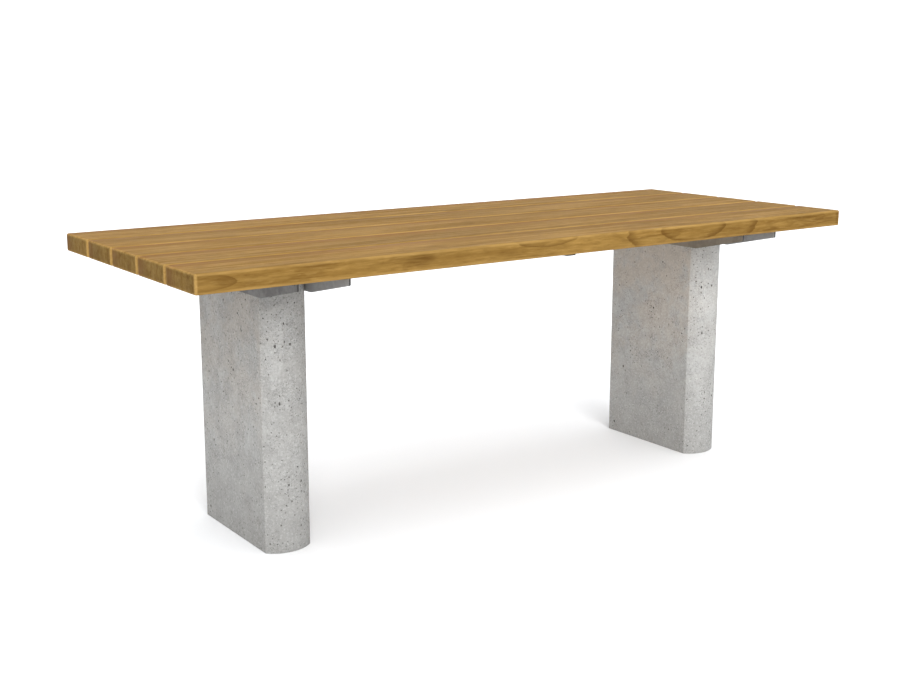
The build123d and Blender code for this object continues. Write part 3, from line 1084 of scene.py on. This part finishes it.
@dataclass
class ConcreteLeg:
    """A cast leg: flat sides, a shallow round nose at each end, eased edges and real air holes."""

    side: Side
    seed: int = 31
    side_length: float = 0.328
    arris: float = 1.4 * MM
    rim: float = 1.1 * MM
    nose_steps: int = 40
    side_steps: int = 24
    arris_steps: int = 4
    rim_steps: int = 4
    rows: int = 40
    scattered: int = 110
    scattered_radius: float = 2.15 * MM
    margin: float = 3 * MM
    hole_tube: Tube = Tube(7, 10)
    hole_sink: float = 0.25
    hole_gap: float = 1.7
    socket_steps: int = 48
    socket_radius: float = 11.0 * MM
    socket_length: float = 60.0 * MM
    socket_place: float = 0.100

    def __post_init__(self) -> None:
        """Measures the leg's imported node; the nose is the circle through its two corners and its tip."""
        self.node = self.side.value + "_concrete_leg"
        self.low, self.high = (np.array(corner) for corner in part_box(self.node))
        self.half = (self.high - self.low) / 2
        rise = self.half[1] - self.side_length / 2
        self.nose_radius = (self.half[0] ** 2 + rise**2) / (2 * rise)
        self.random = np.random.default_rng(self.seed)

    def piece(self, *materials: Material) -> Object:
        """Builds the leg and cuts the air holes and the two sockets into it.

        Args:
            materials: the material of the faces, and that of the inside of the air holes.

        Returns:
            The finished leg.
        """
        body, cutter = self._body(), self._cutter()
        for item in (body, cutter):
            give_material(item, *materials)
        cut = body.modifiers.new("air holes", "BOOLEAN")
        cut.operation = "DIFFERENCE"
        cut.solver = "EXACT"
        cut.object = cutter
        mesh = bpy.data.meshes.new_from_object(body.evaluated_get(bpy.context.evaluated_depsgraph_get()))
        for extra in (body, cutter):
            bpy.data.objects.remove(extra)
        return finish_object(self.node + "_cast", mesh, 32.0)

    def _outline(self) -> tuple[Array, Array]:
        """The leg's plan: two straight sides and two nose arcs, with small rounds between them.

        Each corner is a small arc that turns from the side's direction to the nose's direction.

        Returns:
            The points round the plan and the outward directions at them.
        """
        half_width, half_length = self.half[:2]
        half_side, radius = self.side_length / 2, self.nose_radius
        limit = math.asin(half_width / radius) - self.arris / radius
        swing = np.linspace(limit, -limit, self.nose_steps)
        nose_out = np.stack([np.sin(swing), np.cos(swing)], axis=-1)
        nose = radius * nose_out + (0.0, half_length - radius)
        rise_to = half_side - self.arris
        steps = np.linspace(-rise_to, rise_to, self.side_steps)
        straight = np.stack([np.full(self.side_steps, half_width), steps], axis=-1)
        straight_out = np.tile([1.0, 0.0], (self.side_steps, 1))
        turn = np.linspace(0.0, 1.0, self.arris_steps + 2)[1:-1, None]
        knee = np.array([[half_width, half_side]])
        arc = (1 - turn) ** 2 * straight[-1] + 2 * turn * (1 - turn) * knee + turn**2 * nose[0]
        arc_out = (1 - turn) * straight_out[-1] + turn * nose_out[0]
        arc_out /= np.linalg.norm(arc_out, axis=1, keepdims=True)
        flip = np.array([-1.0, 1.0])
        points = np.concatenate([straight, arc, nose, (arc * flip)[::-1]])
        outward = np.concatenate([straight_out, arc_out, nose_out, (arc_out * flip)[::-1]])
        return np.concatenate([points, -points]), np.concatenate([outward, -outward])

    def _body(self) -> Object:
        """The plan carried up the leg, drawn in by a quarter circle at the foot and at the head.

        Returns:
            The leg before anything is taken out of it.
        """
        plan, outward = self._outline()
        heights = eased_run(self.low[2], self.high[2], self.rim, self.rim_steps, self.rows)
        draw = self.rim * (1.0 - np.sin(np.linspace(0.0, math.pi / 2, self.rim_steps)))
        inset = np.concatenate([draw, np.zeros(self.rows - 2), draw[::-1]])
        centre = (self.low[:2] + self.high[:2]) / 2
        flat = centre + plan[None] - outward[None] * inset[:, None, None]
        tall = np.broadcast_to(heights[:, None, None], (*flat.shape[:2], 1))
        points = np.concatenate([flat, tall], axis=-1).reshape(-1, 3)
        return finish_object("body", shell("body", points, Tube(len(heights), len(plan)).capped()))

    def _cutter(self) -> Object:
        """Everything that is taken out of the leg, as one mesh: air holes and socket pockets.

        Returns:
            The cutter; its second material marks the walls of the air holes.
        """
        points, faces = self._holes(*self._hole_places())
        slots = [1] * len(faces)
        for y in (-self.socket_place, self.socket_place):
            pocket, pocket_faces = self._pocket((self.low[0] + self.high[0]) / 2, y, len(points))
            points = np.concatenate([points, pocket])
            faces += pocket_faces
            slots += [0] * len(pocket_faces)
        cutter = finish_object("cutter", shell("cutter", points, faces))
        cutter.data.polygons.foreach_set("material_index", slots)
        return cutter

    def _hole_places(self) -> tuple[Array, ...]:
        """Places of the air holes: the clusters on both ends and sides, and scattered small ones.

        A hole that would run into an earlier one is left out.

        Returns:
            The places on the surface, the outward directions and the radii.
        """
        draw, rows = self.random, []
        for faces, along, height, spread, count, largest in CLUSTERS:
            shift = draw.normal(0.0, spread, (count, 2))
            shift[0] = 0.0
            radii = largest * MM / 2 * draw.uniform(0.30, 0.75, count)
            radii[0] = largest * MM / 2
            rows += [(face, along + shift[:, 0], height + shift[:, 1], radii) for face in faces]
        count = self.scattered
        for face in SIDES + NOSES:
            reach = self.side_length / 2 if face in SIDES else self.half[0]
            along = draw.uniform(-reach, reach, count)
            height = draw.uniform(0.0, self.high[2] - self.low[2], count)
            rows.append((face, along, height, self.scattered_radius * draw.uniform(0.45, 1.0, count) ** 1.4))
        parts = [(*self._on_face(face, along, height), radii) for face, along, height, radii in rows]
        places, outward, radii = (np.concatenate(group) for group in zip(*parts))
        places += np.array([(self.low[0] + self.high[0]) / 2, 0.0, self.low[2]])
        apart = np.linalg.norm(places[:, None] - places[None], axis=-1)
        touching = np.triu(apart < self.hole_gap * (radii[:, None] + radii[None]), 1).any(axis=0)
        return places[~touching], outward[~touching], radii[~touching]

    def _on_face(self, face: str, along: Array, height: Array) -> tuple[Array, Array]:
        """Places on one face of a leg at the origin, kept off its edges.

        Args:
            face: left, right, front or back.
            along: distance along the face from its middle, in metres.
            height: height over the foot.

        Returns:
            The places and the outward directions.
        """
        sign = -1.0 if face in ("left", "front") else 1.0
        height = np.clip(height, self.margin, 2 * self.half[2] - self.margin)
        if face in SIDES:
            limit = self.side_length / 2
            along = np.clip(along * -sign, self.margin - limit, limit - self.margin)
            places = np.stack([np.full_like(along, sign * self.half[0]), along, height], axis=-1)
            return places, np.tile([sign, 0.0, 0.0], (len(along), 1))
        limit, radius = self.half[0], self.nose_radius
        swing = np.arcsin(np.clip(along, self.margin - limit, limit - self.margin) / radius)
        y = sign * (self.half[1] - radius + radius * np.cos(swing))
        outward = np.stack([np.sin(swing), sign * np.cos(swing), np.zeros_like(swing)], axis=-1)
        return np.stack([radius * np.sin(swing), y, height], axis=-1), outward

    def _holes(self, places: Array, outward: Array, radii: Array) -> tuple[Array, list[list[int]]]:
        """Closed rough balls, one for each air hole, sunk so that their middles lie near the surface.

        Each ball is a sphere in latitude and longitude whose radius is waved by two sines and
        which is stretched by its own factors along three axes.

        Args:
            places: the middles on the surface.
            outward: the surface's directions there.
            radii: the radii.

        Returns:
            All points and all faces.
        """
        tube, count = self.hole_tube, len(places)
        latitude = np.linspace(0.0, math.pi, tube.rings + 2)[1:-1]
        longitude = np.linspace(0.0, 2 * math.pi, tube.columns, endpoint=False)
        phase = self.random.uniform(0.0, 2 * math.pi, (count, 2, 1, 1))
        stretch = self.random.uniform((0.60, 0.75, 0.7), (1.05, 1.45, 1.0), (count, 3))
        wave = 1.0 + 0.13 * np.sin(3 * longitude + phase[:, 0]) + 0.09 * np.sin(4 * latitude[:, None] + phase[:, 1])
        wide = np.sin(latitude)[:, None]
        tall = np.cos(latitude)[:, None] * np.ones_like(longitude)
        ball = np.stack([wide * np.cos(longitude), wide * np.sin(longitude), tall], axis=-1)
        balls = (ball[None] * wave[..., None]).reshape(count, -1, 3)
        poles = np.tile([[[0.0, 0.0, 1.0], [0.0, 0.0, -1.0]]], (count, 1, 1))
        local = np.concatenate([balls, poles], axis=1) * stretch[:, None] * radii[:, None, None]
        across = np.stack([-outward[:, 1], outward[:, 0], np.zeros(count)], axis=-1)
        up = np.tile([0.0, 0.0, 1.0], (count, 1))
        axes = np.stack([across, up, outward], axis=1)
        sunk = places - self.hole_sink * radii[:, None] * outward
        world = np.einsum("nij,njk->nik", local, axes) + sunk[:, None]
        base = (np.arange(count) * (tube.rings * tube.columns + 2))[:, None, None]
        quads, fans = (shape[None] + base for shape in (tube.quads(), tube.fans()))
        return world.reshape(-1, 3), quads.reshape(-1, 4).tolist() + fans.reshape(-1, 3).tolist()

    def _pocket(self, x: float, y: float, start: int) -> tuple[Array, list[list[int]]]:
        """A cylinder that takes out the concrete where a threaded socket sits, from under the foot.

        Args:
            x: where its axis stands along the table.
            y: where it stands across the table.
            start: the number of its first point.

        Returns:
            Its points and faces.
        """
        columns = self.socket_steps
        turn = np.linspace(0.0, 2 * math.pi, columns, endpoint=False)
        ring = np.stack([x + self.socket_radius * np.cos(turn), y + self.socket_radius * np.sin(turn)], axis=-1)
        heights = (self.low[2] - 2 * MM, self.low[2] + self.socket_length)
        points = np.concatenate([np.column_stack([ring, np.full(columns, z)]) for z in heights])
        return points, Tube(2, columns).capped(start)


# Assemblies


def stand_in(piece: Object, node: str) -> Object:
    """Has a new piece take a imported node's place.

    Args:
        piece: the new piece.
        node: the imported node's name.

    Returns:
        The new piece.
    """
    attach(piece, ROOT)
    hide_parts(node)
    return piece


def darken_cut_faces(piece: Object, skin: Material, cut: Material, below: float) -> None:
    """Gives a steel piece's thin cut faces their own finish: its two ends, and what looks down below a height.

    Args:
        piece: the steel piece.
        skin: the finish of its other faces.
        cut: the finish of its cut faces.
        below: the height.
    """
    give_material(piece, skin, cut)
    polygons = piece.data.polygons
    normals, centres = np.empty((2, 3 * len(polygons)))
    polygons.foreach_get("normal", normals)
    polygons.foreach_get("center", centres)
    normals, centres = normals.reshape(-1, 3), centres.reshape(-1, 3)
    at_end = np.abs(normals[:, 1]) > 0.6
    underneath = (normals[:, 2] < -0.3) & (centres[:, 2] < below)
    polygons.foreach_set("material_index", (at_end | underneath).astype(np.int32))


@dataclass
class Assembly:
    """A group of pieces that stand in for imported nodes."""

    finishes: Finishes
    frame: dict[str, Any]

    def eased(self, node: str, material: Material, slot: str, width: float, ending: str = "_eased") -> Object:
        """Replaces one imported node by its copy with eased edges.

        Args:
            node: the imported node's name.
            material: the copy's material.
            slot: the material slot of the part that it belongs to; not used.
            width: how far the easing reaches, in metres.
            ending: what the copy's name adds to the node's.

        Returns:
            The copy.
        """
        piece = eased_copy(self.frame["nodes"][node], node + ending, width)
        give_material(piece, material)
        return stand_in(piece, node)


# Each mark: kind, middle from the plank's centre, reach, depth, rings.
FRONT_MARKS = (
    GrainMark(Mark.LOOP, (0.410, -0.075, 0.015), (0.120, 0.200, 0.036), 0.66, 2),
    GrainMark(Mark.LOOP, (-0.985, -0.075, 0.001), (0.078, 0.200, 0.017), 0.46),
    GrainMark(Mark.BLOTCH, (-0.935, -0.075, 0.002), (0.034, 0.100, 0.012), 0.40),
    GrainMark(Mark.BLOTCH, (-0.455, -0.075, 0.002), (0.046, 0.100, 0.017), 0.72),
    GrainMark(Mark.BLOTCH, (-0.440, -0.075, 0.008), (0.034, 0.100, 0.007), 0.40),
    GrainMark(Mark.BLOTCH, (-0.715, -0.075, 0.014), (0.045, 0.100, 0.005), 0.45),
    GrainMark(Mark.LOOP, (-0.085, -0.075, 0.030), (0.105, 0.200, 0.027), 0.58),
    GrainMark(Mark.BLOTCH, (-0.120, -0.075, 0.014), (0.050, 0.100, 0.004), 0.35),
    GrainMark(Mark.BLOTCH, (0.850, -0.075, 0.012), (0.060, 0.100, 0.005), 0.75),
    GrainMark(Mark.BLOTCH, (0.935, -0.075, 0.002), (0.060, 0.100, 0.006), 0.40),
    GrainMark(Mark.BLOTCH, (0.992, -0.075, 0.000), (0.012, 0.100, 0.030), 0.50),
)


@dataclass
class TimberTop(Assembly):
    """The planks, the batten that ties them at mid-length and its screws."""

    planks: tuple[str, ...] = ("plank_front", "plank_front_inner", "plank_middle", "plank_back_inner", "plank_back")
    tones: tuple[float, ...] = (1.0, 0.97, 1.03, 0.98, 1.0)
    hearts: tuple[tuple[float, float], ...] = (
        (0.190, 0.006), (-0.230, 0.020), (0.260, -0.012), (-0.205, 0.004), (0.240, -0.018))

    def build(self) -> list[Object]:
        """Builds and dresses the pieces.

        Returns:
            The new pieces.
        """
        skin, cut = self.finishes.steel[Steel.SCREW], self.finishes.steel[Steel.CUT_EDGE]
        pieces = [self._plank(index, node) for index, node in enumerate(self.planks)]
        pieces.append(self.eased("middle_batten", skin, "bracket_steel", 0.6 * MM, "_bar"))
        darken_cut_faces(pieces[-1], skin, cut, 0.0)
        pieces.append(self.eased("middle_batten_screws", skin, "zinc_steel", 0.25 * MM))
        return pieces

    def _plank(self, index: int, node: str) -> Object:
        """Builds one plank with its own run of grain.

        Args:
            index: the plank's number, counted from the front.
            node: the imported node's name.

        Returns:
            The plank.
        """
        low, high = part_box(node)
        finish = TimberFinish(
            effects=self.finishes.effects,
            name=f"oiled timber {index + 1}",
            centre=tuple((low + high) / 2),
            half=tuple((high - low) / 2),
            heart_offset=self.hearts[index],
            drift=3.1 + 2.3 * index,
            tone=self.tones[index],
            marks=FRONT_MARKS if index == 0 else (),
        )
        piece = Plank(node, seed=11 + index).piece()
        give_material(piece, finish.build())
        return stand_in(piece, node)


@dataclass
class LegAssembly(Assembly):
    """One leg with everything that is cast into it, clamped to it or screwed to the planks."""

    side: Side
    flange_reach: float = 8.0 * MM

    def build(self) -> list[Object]:
        """Builds and dresses the leg's pieces.

        Returns:
            The new pieces.
        """
        leg = ConcreteLeg(self.side)
        cast = leg.piece(self.finishes.concrete[self.side], self.finishes.air_hole_shade)
        pieces = [stand_in(cast, leg.node)]
        steel, prefix = self.finishes.steel, self.side.value + "_"
        # The bracket on each leg's -X side takes a darker copy of the bracket steel, as painted shade.
        outer = Steel.SHADE_PAINTED_BRACKET if self.side is Side.LEFT else Steel.BRACKET
        # The right leg's inner bracket is painted shade in a browner copy.
        inner = Steel.WARM_SHADE_PAINTED_BRACKET if self.side is Side.RIGHT else Steel.BRACKET
        pieces.append(self._bracket(prefix + "outer_bracket", steel[outer]))
        pieces.append(self._bracket(prefix + "inner_bracket", steel[inner]))
        for parts, material, slot, width in (
            (("clamp_bolts", "bolt_washers", "cap_nuts", "floor_sockets"), steel[Steel.ZINC], "zinc_steel", 0.25 * MM),
            (("outer_bracket_screws", "inner_bracket_screws"), steel[Steel.SCREW], "zinc_steel", 0.15 * MM),
            (("top_pad", "outer_side_pad", "inner_side_pad"), self.finishes.rubber, "rubber_pad", 0.3 * MM),
        ):
            pieces += [self.eased(prefix + part, material, slot, width) for part in parts]
        cast_in = {"clamp_sleeves": Steel.ZINC, "reinforcing_bars": Steel.BAR, "reinforcing_links": Steel.BAR}
        for part, kind in cast_in.items():
            give_material(self.frame["nodes"][prefix + part], steel[kind])
        return pieces

    def _bracket(self, node: str, skin: Material) -> Object:
        """One folded bracket, whose thin cut faces are darker than its skin.

        Args:
            node: the bracket's name.
            skin: the material of its broad faces.

        Returns:
            The bracket with its two finishes.
        """
        piece = self.eased(node, skin, "bracket_steel", 0.5 * MM)
        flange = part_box(node)[1][2] - self.flange_reach
        darken_cut_faces(piece, skin, self.finishes.steel[Steel.CUT_EDGE], flange)
        return piece


@dataclass
class Studio:
    """A pale sweep, soft lights and the camera."""

    camera_place: Point = (-2.029, -2.755, 1.140)
    heading: float = 34.97
    dip: float = 11.32
    lens: float = 51.05
    rise: float = -0.0349
    sweep_colour: Colour = (0.852, 0.864, 0.880)
    sky: float = 0.98

    def build(self) -> None:
        """Sets everything round the table."""
        self._camera()
        self._sweep()
        self._sky()
        self._sun("key", 19.0, 31.0, 30.0, 2.05)
        self._sun("top", 0.0, 84.0, 60.0, 1.18)
        self._sun("side", 62.0, 12.0, 24.0, 0.20)
        bpy.context.scene.view_settings.view_transform = "Standard"

    def _camera(self) -> None:
        """Stands the camera in front of the left end, turned right and dipped."""
        data = bpy.data.cameras.new("camera")
        data.lens = self.lens
        data.sensor_width = 36.0
        data.shift_y = self.rise
        camera = link("camera", data)
        camera.location = self.camera_place
        camera.rotation_euler = Euler((math.radians(90.0 - self.dip), 0.0, math.radians(-self.heading)))
        bpy.context.scene.camera = camera

    def _sweep(self) -> None:
        """A floor that turns up into a wall far behind the table: flat, then a quarter circle, then upright."""
        reach, bend = 14.0, 6.0
        turn = np.linspace(0.0, math.pi / 2, 24)
        depth = np.concatenate([[-reach], reach + bend * np.sin(turn), [reach + bend]])
        height = np.concatenate([[0.0], bend * (1.0 - np.cos(turn)), [3 * bend]])
        width = np.tile([-3 * reach, 3 * reach], len(depth))
        points = np.stack([width, np.repeat(depth, 2), np.repeat(height, 2)], axis=-1)
        row = 2 * np.arange(len(depth) - 1)
        faces = np.stack([row, row + 1, row + 3, row + 2], axis=-1)
        sweep = link("sweep", shell("sweep", points, faces.tolist()))
        sweep.rotation_euler = (0.0, 0.0, math.radians(-self.heading))
        graph = MaterialGraph("pale sweep")
        surface = {"Base Color": self.sweep_colour, "Roughness": 0.9, "Specular IOR Level": 0.0}
        graph.fill(graph.shader, surface)
        give_material(sweep, graph.material)

    def _sky(self) -> None:
        """Even white light from all round."""
        world = bpy.data.worlds.new("soft sky")
        bpy.context.scene.world = world
        world.use_nodes = True
        background = world.node_tree.nodes["Background"]
        background.inputs["Color"].default_value = (1.0, 1.0, 1.0, 1.0)
        background.inputs["Strength"].default_value = self.sky

    @staticmethod
    def _sun(name: str, turn: float, height: float, softness: float, strength: float) -> None:
        """Adds an even soft light from far away.

        Args:
            name: the light's name.
            turn: where it stands, in degrees from the front towards the left end.
            height: how high it stands, in degrees.
            softness: how wide it is, in degrees.
            strength: its power on a face turned to it.
        """
        data = bpy.data.lights.new(name, "SUN")
        data.angle = math.radians(softness)
        data.energy = strength
        link(name, data).rotation_euler = Euler((math.radians(90.0 - height), 0.0, math.radians(-turn)))


def main() -> None:
    """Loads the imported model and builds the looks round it."""
    logging.basicConfig(level=logging.INFO, format="%(name)s: %(message)s")
    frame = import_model()
    Studio().build()
    finishes = Finishes()
    pieces = TimberTop(finishes, frame).build()
    for side in Side:
        pieces += LegAssembly(finishes, frame, side).build()
    for piece in pieces:
        LOG.info("%s: %d faces", piece.name, len(piece.data.polygons))


if __name__ == "__main__":
    main()
